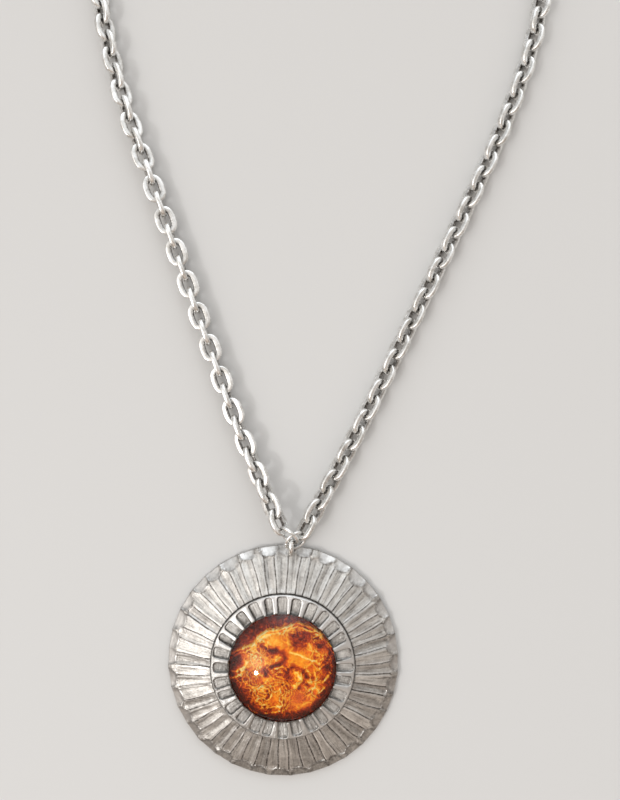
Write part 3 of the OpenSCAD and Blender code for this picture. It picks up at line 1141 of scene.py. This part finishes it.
@dataclass
class CrinkledFoil:
    """The foil under the stone: creased, torn along its upper edge and dimpled once.

    The patches change its tone, the calm places thin out the fine crackle, and its creases and torn edge
    carry painted glints, with painted shade in dark folds and towards its rim.
    """

    radius: float = 11.35
    base: float = 2.26
    level: float = 4.1
    rows: int = 110
    columns: int = 420
    fine_scale: float = 0.95
    ragged_scale: float = 2.1
    fine_sway: float = 0.022
    ragged_sway: float = 0.010
    tone: float = 0.45
    dimple_tone: float = 0.14
    torn_tone: float = 0.20
    edge_gain: float = 0.46
    tear: Line = (
        (-1.1, 0.14), (-0.93, 0.22), (-0.71, 0.33), (-0.52, 0.39), (-0.44, 0.49), (-0.29, 0.62),
        (-0.17, 0.64), (-0.03, 0.67), (0.10, 0.71), (0.25, 0.78), (0.39, 0.74), (0.56, 0.68), (0.69, 0.58),
        (0.78, 0.46), (0.95, 0.28), (1.1, 0.2))
    dimple: Triple = (0.32, 0.46, 0.19)
    patches: tuple[Patch, ...] = (
        Patch(-0.16, 0.44, 0.20, 0.20), Patch(0.24, 0.10, 0.18, 0.16), Patch(0.62, 0.54, 0.09, 0.30),
        Patch(0.46, 0.37, 0.06, 0.36), Patch(-0.10, 0.15, 0.07, 0.34), Patch(-0.37, -0.33, 0.10, 0.22),
        Patch(-0.48, 0.12, 0.16, 0.22), Patch(0.0, -0.36, 0.14, 0.14), Patch(0.75, 0.22, 0.10, 0.14),
        Patch(-0.82, 0.10, 0.13, -0.22), Patch(-0.17, 0.25, 0.10, -0.28), Patch(-0.04, -0.12, 0.16, -0.20),
        Patch(0.13, -0.20, 0.13, -0.16), Patch(0.22, -0.50, 0.13, -0.12), Patch(0.72, -0.06, 0.12, -0.12),
        Patch(-0.62, -0.40, 0.12, -0.08), Patch(-0.15, -0.60, 0.12, -0.08), Patch(0.62, 0.36, 0.07, -0.26))
    calm: tuple[Patch, ...] = (
        Patch(0.10, 0.22, 0.20, 0.8), Patch(0.30, -0.60, 0.22, 0.8), Patch(-0.12, 0.45, 0.16, 0.8),
        Patch(0.33, 0.14, 0.15, 0.8), Patch(-0.76, 0.18, 0.15, 0.8))
    creases: tuple[Crease, ...] = (
        Crease(-0.34, 0.050, ((-0.36, 0.33), (-0.25, 0.30), (-0.10, 0.28), (0.02, 0.22), (0.04, 0.13),
                              (-0.02, 0.06), (-0.15, 0.02), (-0.24, -0.04), (-0.28, -0.12))),
        Crease(0.32, 0.028, ((0.22, -0.08), (0.29, -0.12), (0.31, -0.20), (0.28, -0.29), (0.20, -0.35))),
        Crease(-0.26, 0.040, ((0.12, -0.02), (0.22, 0.0), (0.33, -0.06), (0.38, -0.17), (0.36, -0.28),
                              (0.28, -0.37))),
        Crease(0.24, 0.060, ((0.25, -0.72), (0.42, -0.65), (0.56, -0.52), (0.66, -0.40))),
        Crease(0.34, 0.016, ((0.65, -0.04), (0.78, 0.08), (0.89, 0.17))),
        Crease(0.30, 0.018, ((0.88, 0.02), (0.87, -0.10), (0.80, -0.20), (0.72, -0.26))),
        Crease(0.30, 0.016, ((-0.28, -0.47), (-0.32, -0.41), (-0.40, -0.41), (-0.44, -0.48), (-0.40, -0.55),
                             (-0.31, -0.54), (-0.28, -0.47))),
        Crease(0.30, 0.018, ((-0.20, -0.50), (-0.24, -0.38), (-0.36, -0.33), (-0.48, -0.38), (-0.52, -0.50),
                             (-0.46, -0.60), (-0.34, -0.64), (-0.22, -0.62))),
        Crease(0.36, 0.020, ((-0.95, -0.22), (-0.84, -0.20), (-0.74, -0.12), (-0.66, 0.0), (-0.62, 0.08))),
        Crease(0.30, 0.016, ((-0.90, -0.08), (-0.82, -0.10), (-0.76, -0.04), (-0.70, -0.06))),
        Crease(0.44, 0.030, ((-0.62, -0.72), (-0.55, -0.78), (-0.48, -0.83))),
        Crease(0.26, 0.018, ((-0.38, -0.72), (-0.20, -0.70), (-0.05, -0.68), (0.06, -0.65))),
        Crease(0.26, 0.018, ((-0.30, -0.82), (-0.10, -0.78), (0.02, -0.74))),
        Crease(0.30, 0.018, ((0.42, -0.05), (0.48, -0.15), (0.50, -0.30), (0.46, -0.42))),
        Crease(0.28, 0.018, ((0.55, -0.08), (0.60, -0.22), (0.57, -0.36))),
        Crease(0.26, 0.016, ((0.68, -0.30), (0.74, -0.38), (0.66, -0.46), (0.72, -0.52))),
        Crease(0.36, 0.022, ((0.14, 0.26), (0.28, 0.20), (0.44, 0.14), (0.55, 0.10), (0.63, 0.05))),
        Crease(0.30, 0.018, ((-0.26, 0.0), (-0.20, -0.06), (-0.12, -0.02), (-0.02, 0.02), (0.06, -0.04))),
        Crease(0.28, 0.014, ((-0.12, -0.08), (-0.04, -0.06), (0.03, -0.10), (0.0, -0.17), (-0.10, -0.16))),
        Crease(0.34, 0.020, ((0.40, 0.66), (0.52, 0.62), (0.62, 0.64), (0.70, 0.50))),
        Crease(0.26, 0.016, ((-0.44, 0.40), (-0.38, 0.48), (-0.30, 0.50), (-0.22, 0.56))))

    def build(self, finish: Material) -> Object:
        """Spins a disc of fine rows and crinkles its face.

        Args:
            finish: The foil's material.

        Returns:
            The piece.
        """
        profile = [(0, self.base), (self.radius, self.base)]
        profile += [(self.radius * (1 - k / self.rows), self.level) for k in range(self.rows + 1)]
        piece = make_piece("crinkled_foil", spun(profile, self.columns, False), finish)
        self._crinkle(piece.data)
        return piece

    def _crinkle(self, mesh: Mesh) -> None:
        """Moves the face's vertices into creases, and marks their tone and where the crackle shows."""
        points = points_of(mesh)
        top = points[:, 2] > self.level - 0.1
        flat = np.c_[points[:, :2], 0 * points[:, 0]]
        broad, fine = rough_at(flat, 0.33, 2.0), rough_at(flat, self.fine_scale, 6.0)
        ragged = rough_at(flat, self.ragged_scale, 3.0)
        u = points[:, 0] / self.radius + self.fine_sway * fine + self.ragged_sway * ragged
        v = points[:, 1] / self.radius + self.fine_sway * rough_at(flat, self.fine_scale, 9.0)
        v += self.ragged_sway * rough_at(flat, self.ragged_scale, 5.0)
        out = out_of(points) / self.radius
        beyond = smooth_step(0.0, 0.035, v - np.interp(u, *zip(*self.tear)))
        lip = bump_at(near_path(u, v, self.tear), 0, 0.024)
        lip += 0.6 * bump_at(near_path(u, v + 0.07, self.tear), 0, 0.016)
        dimple_u, dimple_v, size = self.dimple
        dimple = smooth_step(size * 1.25, size * 0.6, np.hypot(u - dimple_u, (v - dimple_v) * 1.1))

        tone = self.tone + 0.07 * broad + 0.05 * fine + sum(patch.at(u, v) for patch in self.patches)
        height = 0.28 * broad + 0.10 * fine
        # bright creases are painted glints and dark ones painted shade in the folds; they also raise the face
        for crease in self.creases:
            line = crease.gain * bump_at(near_path(u, v, crease.path), 0, crease.width)
            tone += line
            height += 0.5 * line
        tone = tone * (1 - 0.8 * dimple) + 0.8 * dimple * (self.dimple_tone + 0.05 * ragged)
        tone = tone * (1 - beyond) + beyond * (self.torn_tone + 0.10 * broad + 0.06 * fine)
        # painted glint along the torn edge, and painted shade towards the rim, lighter beyond the tear
        tone += self.edge_gain * (lip - smooth_step(0.62, 1.0, out) * (1 - 0.65 * beyond))
        height += 0.25 * lip - 0.6 * dimple - 0.9 * beyond
        points[:, 2] += top * height * smooth_step(1.0, 0.93, out)
        move_points(mesh, points)
        mark_points(mesh, "tone", np.where(top, tone, 0))
        mark_points(mesh, "crackle", 1 - sum(patch.at(u, v) for patch in self.calm))


def loops_of(node: str, frame: dict) -> list[Matrix]:
    """Finds the separate loops of a CAD node, and how each lies.

    Args:
        node: Name of the CAD node.
        frame: The loaded frame.

    Returns:
        For each loop the matrix whose X runs along it and whose Z is across its plane, in metres.
    """
    bm = bmesh.new()
    bm.from_mesh(frame["nodes"][node].data)
    bmesh.ops.remove_doubles(bm, verts=bm.verts, dist=1e-7)
    left = set(bm.faces)
    found = []
    while left:
        todo, island = [left.pop()], []
        while todo:
            face = todo.pop()
            island.append(face)
            fresh = {other for edge in face.edges for other in edge.link_faces} & left
            left -= fresh
            todo += fresh
        area = np.array([f.calc_area() for f in island])
        middle = np.array([f.calc_center_median() for f in island])
        centre = (area[:, None] * middle).sum(0) / area.sum()
        spread = ((middle - centre) * area[:, None]).T @ (middle - centre)
        axes = np.linalg.eigh(spread)[1]
        along = axes[:, 2] * math.copysign(1, axes[1, 2])
        across = axes[:, 0] * math.copysign(1, axes[2, 0])
        rows = np.c_[along, np.cross(across, along), across, centre]
        found.append(Matrix([*rows.tolist(), [0, 0, 0, 1]]))
    bm.free()
    return sorted(found, key=lambda place: place.translation.y)


@dataclass
class Link:
    """One oval link of flattened wire."""

    length: float = 6.4
    width: float = 4.5
    wire_width: float = 1.35
    wire_height: float = 1.1
    bends: int = 6
    quarter: Line = ((1.04, 0.0), (0.97, 0.68), (0.70, 1.02))

    def build(self) -> Mesh:
        """Bends the wire's section round into a link, and marks the inside of the loop.

        Returns:
            The mesh, which a subdivision then rounds to its full size.
        """
        # a level of subdivision draws a loop of corners in by this share
        drawn_in = (6 + 2 * math.cos(math.pi / self.bends)) / 8
        straight = (self.length - self.width) / 2 * MM
        turn = (self.width - self.wire_width) / 2 / drawn_in * MM
        half = [*self.quarter, (0.0, 1.0), *((-x, y) for x, y in reversed(self.quarter[1:]))]
        section = half + [(-x, -y) for x, y in half]
        wide, high = self.wire_width / 2 * MM, self.wire_height / 2 * MM
        bm = bmesh.new()
        ring = [bm.verts.new((straight, -turn + x * wide, y * high)) for x, y in section]
        first = loop = [bm.edges.new((v, ring[k - 1])) for k, v in enumerate(ring)]
        for end in (1, -1):
            corners = list({v for e in loop for v in e.verts})
            done = bmesh.ops.spin(bm, geom=corners + loop, cent=(end * straight, 0, 0), axis=(0, 0, 1),
                                  angle=math.pi, steps=self.bends)
            loop = edges_in(done["geom_last"])
            if end == 1:
                grown = bmesh.ops.extrude_edge_only(bm, edges=loop)["geom"]
                moved = [g for g in grown if isinstance(g, BMVert)]
                bmesh.ops.translate(bm, vec=(-2 * straight, 0, 0), verts=moved)
                loop = [e for e in edges_in(grown) if all(v in moved for v in e.verts)]
        bmesh.ops.bridge_loops(bm, edges=loop + first)
        clean(bm)
        mesh = bpy.data.meshes.new("link")
        bm.to_mesh(mesh)
        bm.free()
        points = points_of(mesh)
        x = np.maximum(0, np.abs(points[:, 0]) - straight / MM)
        inward = turn / MM - np.hypot(x, points[:, 1])
        # the inside of the loop gets a little tarnish and painted shade
        mark_points(mesh, "hollow", 0.95 * smooth_step(0.2, self.wire_width / 2, inward))
        return mesh


@dataclass
class Strand:
    """One side of the chain, in lengths of five links."""

    side: Side
    lengths: int = 13

    def build(self, link: Mesh, finish: Material, frame: dict) -> None:
        """Lays links where the CAD links lie, one piece for each length.

        Args:
            link: The link that is repeated.
            finish: The chain's material.
            frame: The loaded frame.
        """
        for number in range(1, self.lengths + 1):
            node = f"{self.side.value}_chain_{number}"
            bm = bmesh.new()
            for place in loops_of(node, frame):
                old = len(bm.verts)
                bm.from_mesh(link)
                bm.verts.ensure_lookup_table()
                bmesh.ops.transform(bm, matrix=place, verts=bm.verts[old:])
            piece = make_piece(f"{self.side.value}_links_{number}", bm, finish)
            rounder = piece.modifiers.new("rounding", "SUBSURF")
            rounder.levels = rounder.render_levels = 1
            seat(piece, node, Slot.SILVER, node)


@dataclass
class WireRing:
    """A ring of round wire, closed or with the cut of a jump ring."""

    name: str
    node: str
    body: str
    radius: float
    wire: float
    cut_degrees: float = 2.5
    cut_at_degrees: float = 70.0
    sides: int = 14
    steps: int = 56

    def build(self, finish: Material, frame: dict) -> None:
        """Spins the wire round, caps its two ends and lays the ring where the CAD ring lies.

        Args:
            finish: The ring's material.
            frame: The loaded frame.
        """
        place = loops_of(self.node, frame)[0]
        middle = (0, 0, 0)
        bm = bmesh.new()
        ring = bmesh.ops.create_circle(bm, segments=self.sides, radius=self.wire / 2 * MM)["verts"]
        bmesh.ops.rotate(bm, verts=ring, cent=middle, matrix=Matrix.Rotation(math.pi / 2, 3, "X"))
        bmesh.ops.translate(bm, verts=ring, vec=(self.radius * MM, 0, 0))
        start = list(bm.edges)
        done = bmesh.ops.spin(bm, geom=ring + start, cent=middle, axis=(0, 0, 1), steps=self.steps,
                              angle=math.tau - math.radians(self.cut_degrees))
        if self.cut_degrees:
            for loop in (start, edges_in(done["geom_last"])):
                bmesh.ops.edgeloop_fill(bm, edges=loop)
        clean(bm)
        turned = Matrix.Rotation(math.radians(self.cut_at_degrees), 3, "Z")
        bmesh.ops.rotate(bm, verts=bm.verts, cent=middle, matrix=turned)
        inward = self.radius - np.array([v.co.xy.length / MM for v in bm.verts])
        bmesh.ops.transform(bm, matrix=place, verts=bm.verts)
        piece = make_piece(self.name, bm, finish)
        # the inside of the ring gets a little tarnish and painted shade
        mark_points(piece.data, "hollow", 0.6 * smooth_step(0.0, self.wire / 2, inward))
        seat(piece, self.body, Slot.SILVER, self.node)


@dataclass
class EndTag:
    """The flat tag at a strand's end: a small eye and a larger hole in one plate with rounded edges.

    The eye and the hole are given by their own radius and that of the plate round them.
    """

    eye: tuple[float, float] = (1.05, 2.05)
    hole: tuple[float, float] = (1.7, 2.7)
    thick: float = 0.8
    eye_thinner: float = 0.02
    edge: float = 0.18
    support: float = 0.06
    steps: int = 56

    def section(self, inner: float, outer: float, thick: float) -> list[tuple[float, float]]:
        """Section of one of its two rings.

        Args:
            inner: Radius of the hole.
            outer: Radius of the ring's outside.
            thick: Thickness of the ring.

        Returns:
            Radius and height of each point of the closed section.
        """
        e, h = self.edge, thick / 2 - self.edge
        # a row close to each end of the two flats keeps their shading flat
        flat = [outer - e - self.support, inner + e + self.support]
        rows = {0: [(r, h + e) for r in flat], 2: [(r, -h - e) for r in reversed(flat)]}
        points = []
        for quarter, (r, z) in enumerate(((outer - e, h), (inner + e, h), (inner + e, -h), (outer - e, -h))):
            turns = [math.pi / 2 * (quarter + k / 4) for k in range(5)]
            points += [(r + e * math.cos(t), z + e * math.sin(t)) for t in turns] + rows.get(quarter, [])
        return points

    def build(self, finish: Material, frame: dict) -> None:
        """Spins the two rings and lays them where the CAD tag lies.

        Args:
            finish: The tag's material.
            frame: The loaded frame.
        """
        place = loops_of("end_tag", frame)[0]
        back = place.inverted()
        local = np.array([back @ v.co for v in frame["nodes"]["end_tag"].data.vertices]) / MM
        # the plate is widest round its hole, which tells the end with the hole from the end with the eye
        way = math.copysign(1, local[np.argmax(np.abs(local[:, 1])), 0])
        along = way * local[:, 0]
        middles = (way * (along.min() + self.eye[1]), way * (along.max() - self.hole[1]))
        bm = bmesh.new()
        thicks = (self.thick - self.eye_thinner, self.thick)
        for middle, sizes, thick in zip(middles, (self.eye, self.hole), thicks):
            ring = spun(self.section(*sizes, thick), self.steps, True)
            bmesh.ops.translate(ring, verts=ring.verts, vec=(middle * MM, 0, 0))
            bmesh.ops.transform(ring, matrix=place, verts=ring.verts)
            mesh = bpy.data.meshes.new("tag_ring")
            ring.to_mesh(mesh)
            ring.free()
            bm.from_mesh(mesh)
            bpy.data.meshes.remove(mesh)
        seat(make_piece("tag_plate", bm, finish), "tag", Slot.SILVER, "end_tag")


@dataclass
class Coil:
    """The clasp's spring: a fine coil that follows the tube from the bolt's tail to the end of the bore."""

    arc: tuple[float, float] = (126.5, 233.5)
    arc_radius: float = 3.4
    outside: float = 1.0
    wire: float = 0.2
    turns: int = 15
    steps: int = 12
    knob_at: float = 110.0

    def build(self, finish: Material, frame: dict) -> None:
        """Winds the coil along the tube, about the axis of the bolt's slide.

        Args:
            finish: The coil's material.
            frame: The loaded frame.
        """
        joint = next(j for j in frame["joints"] if j["name"] == "bolt_slide")
        centre, axis = Vector(joint["pos_m"]), Vector(joint["axis"]).normalized()
        ways = [v.co - centre for v in frame["nodes"]["clasp_bolt"].data.vertices]
        knob = max(ways, key=lambda way: way.length)
        knob = (knob - axis * knob.dot(axis)).normalized()
        zero = Matrix.Rotation(-math.radians(self.knob_at), 3, axis) @ knob
        curve = bpy.data.curves.new("coil_line", "CURVE")
        curve.dimensions = "3D"
        curve.bevel_depth = self.wire / 2 * MM
        curve.bevel_resolution = 1
        curve.use_fill_caps = True
        line = curve.splines.new("POLY")
        line.points.add(self.steps * self.turns)
        reach = (self.outside - self.wire) / 2
        begin, end = self.arc
        middles = []
        for k, point in enumerate(line.points):
            share = k / (len(line.points) - 1)
            out = Matrix.Rotation(math.radians(begin + (end - begin) * share), 3, axis) @ zero
            twist = math.tau * self.turns * share
            middles.append(centre + out * self.arc_radius * MM)
            point.co = (*(middles[-1] + (out * math.cos(twist) + axis * math.sin(twist)) * reach * MM), 1)
        holder = bpy.data.objects.new("coil_line", curve)
        mesh = bpy.data.meshes.new_from_object(holder)
        bpy.data.objects.remove(holder)
        bm = bmesh.new()
        bm.from_mesh(mesh)
        bpy.data.meshes.remove(mesh)
        bmesh.ops.recalc_face_normals(bm, faces=bm.faces)
        piece = make_piece("clasp_coil", bm, finish)
        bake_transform(piece)
        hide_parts("clasp_spring")
        LOG.info("%s shortens between clasp and bolt", piece.name)


@dataclass(frozen=True)
class Glow:
    """A soft patch of light in the surroundings: the way to it, how strong and narrow it is, and its tint."""

    way: Triple
    strength: float
    narrow: float
    tint: Triple


@dataclass
class Studio:
    """Floor, lamp, world and camera."""

    eye: Triple = (5.8, 56.5, 166.5)
    lens: float = 22.86
    sensor_height: float = 24.0
    floor_size: float = 3000.0
    floor_middle: Triple = (0.0, 100.0, -0.09)
    floor_colour: Triple = (0.58, 0.575, 0.565)
    lamp_at: Triple = (-400.0, -240.0, 540.0)
    lamp_aim: Triple = (0.0, 30.0, 0.0)
    lamp_size: float = 70.0
    lamp_watts: float = 0.9
    shade: Triple = (0.29, 0.225, 0.18)
    light: Triple = (0.44, 0.44, 0.44)
    glows: tuple[Glow, ...] = (
        Glow((-0.62, -0.10, 0.78), 1.55, 6.5, (1.0, 0.975, 0.945)),
        Glow((-0.57, -0.13, 0.81), 2.6, 60.0, (1.0, 1.0, 1.0)),
        Glow((0.05, 0.88, 0.47), 2.4, 11.0, (0.88, 0.94, 1.0)),
        Glow((0.80, 0.34, 0.50), 0.5, 3.5, (1.0, 0.98, 0.95)),
        Glow((0.30, -0.78, 0.55), 0.7, 18.0, (1.0, 0.93, 0.86)),
    )

    def build(self) -> None:
        """Sets the stage."""
        self._floor()
        self._lamp()
        self._world()
        camera = bpy.data.cameras.new("camera")
        camera.sensor_fit = "VERTICAL"
        camera.sensor_height = self.sensor_height
        camera.lens = self.lens
        camera.clip_start = 0.01
        holder = bpy.data.objects.new("camera", camera)
        holder.location = Vector(self.eye) * MM
        bpy.context.scene.collection.objects.link(holder)
        bpy.context.scene.camera = holder
        bpy.context.scene.view_settings.view_transform = "Standard"

    def _floor(self) -> None:
        """Lays a plain pale floor."""
        finish = Finish("pale_floor", Base_Color=(*self.floor_colour, 1), Roughness=0.8)
        bm = bmesh.new()
        bmesh.ops.create_grid(bm, x_segments=2, y_segments=2, size=self.floor_size / 2 * MM)
        bmesh.ops.translate(bm, verts=bm.verts, vec=Vector(self.floor_middle) * MM)
        make_piece("floor", bm, finish.material)

    def _lamp(self) -> None:
        """Hangs the small lamp that sparkles in the stone."""
        lamp = bpy.data.lights.new("sparkle", "AREA")
        lamp.shape = "DISK"
        lamp.size = self.lamp_size * MM
        lamp.energy = self.lamp_watts
        holder = bpy.data.objects.new("sparkle", lamp)
        holder.location = Vector(self.lamp_at) * MM
        way = Vector(self.lamp_aim) - Vector(self.lamp_at)
        holder.rotation_euler = way.to_track_quat("-Z", "Y").to_euler()
        bpy.context.scene.collection.objects.link(holder)

    def _world(self) -> None:
        """Lights the scene softly all round, more from the left and the top than from the right."""
        world = bpy.data.worlds.new("studio")
        bpy.context.scene.world = world
        world.use_nodes = True
        tree = Tree(world.node_tree)
        way = tree.add("TexCoord").outputs["Generated"]
        share = tree.span(tree.add("SeparateXYZ", {0: way}).outputs[1], -0.7, 0.5, 0, 1)
        light = tree.add("Background", {0: tree.mix(share, self.shade, self.light)}, {1: 1.0}).outputs[0]
        for glow in self.glows:
            near = tree.add("VectorMath", {0: way}, {1: Vector(glow.way).normalized()},
                            operation="DOT_PRODUCT")
            fall = tree.times(tree.minus(near.outputs["Value"], 1.0), glow.narrow)
            strength = tree.times(tree.maths("EXPONENT", fall), glow.strength)
            patch = tree.add("Background", {1: strength}, {0: (*glow.tint, 1)})
            light = tree.add("AddShader", {0: light, 1: patch.outputs[0]}).outputs[0]
        tree.add("OutputWorld", {0: light})


@dataclass
class Necklace:
    """The whole necklace, piece by piece."""

    frame: dict

    def build(self) -> None:
        """Builds and dresses every piece, from the pendant to the ends of the strands."""
        effects = SharedEffects()
        pewter = PewterFinish("cast_pewter").make(effects)
        bright = PewterFinish("polished_pewter", body=(0.60, 0.585, 0.56), cloudy=(0.46, 0.44, 0.415),
                              rough=(0.26, 0.44)).make(effects)
        silver = SilverFinish("silver_plate").make(effects)
        seat(FlutedDisc().build(pewter), "pendant", Slot.PEWTER, "pendant_disc")
        seat(PocketedCollar().build(bright), "pendant", Slot.PEWTER, "bezel_collar")
        seat(CrinkledFoil().build(FoilFinish().make(effects)), "pendant", Slot.FOIL, "foil_backing")
        seat(Stone().build(AmberFinish().make()), "pendant", Slot.STONE, "cabochon")
        rings = [WireRing("bail_wire", "bail", "pendant", radius=1.9, wire=1.15, cut_degrees=0)]
        for side in (side.value for side in Side):
            rings.append(WireRing(f"{side}_jump_ring", f"bail_ring_{side}", f"{side}_ring",
                                  radius=2.3, wire=0.72))
        for end in ("clasp", "tag"):
            rings.append(WireRing(f"{end}_end_ring", f"{end}_jump_ring", f"{end}_ring",
                                  radius=1.855, wire=0.75))
        for ring in rings:
            ring.build(silver, self.frame)
        link = Link().build()
        for side in Side:
            Strand(side).build(link, silver, self.frame)
        EndTag().build(silver, self.frame)
        Coil().build(silver, self.frame)
        for node in ("clasp_case", "clasp_bolt"):
            solid = self.frame["nodes"][node]
            solid.data.materials.clear()
            solid.data.materials.append(silver)
            LOG.info("%s keeps its solid", node)


def main() -> None:
    """Builds the scene."""
    logging.basicConfig(level=logging.INFO, format="%(name)s: %(message)s")
    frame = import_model()
    Studio().build()
    Necklace(frame).build()


if __name__ == "__main__":
    main()
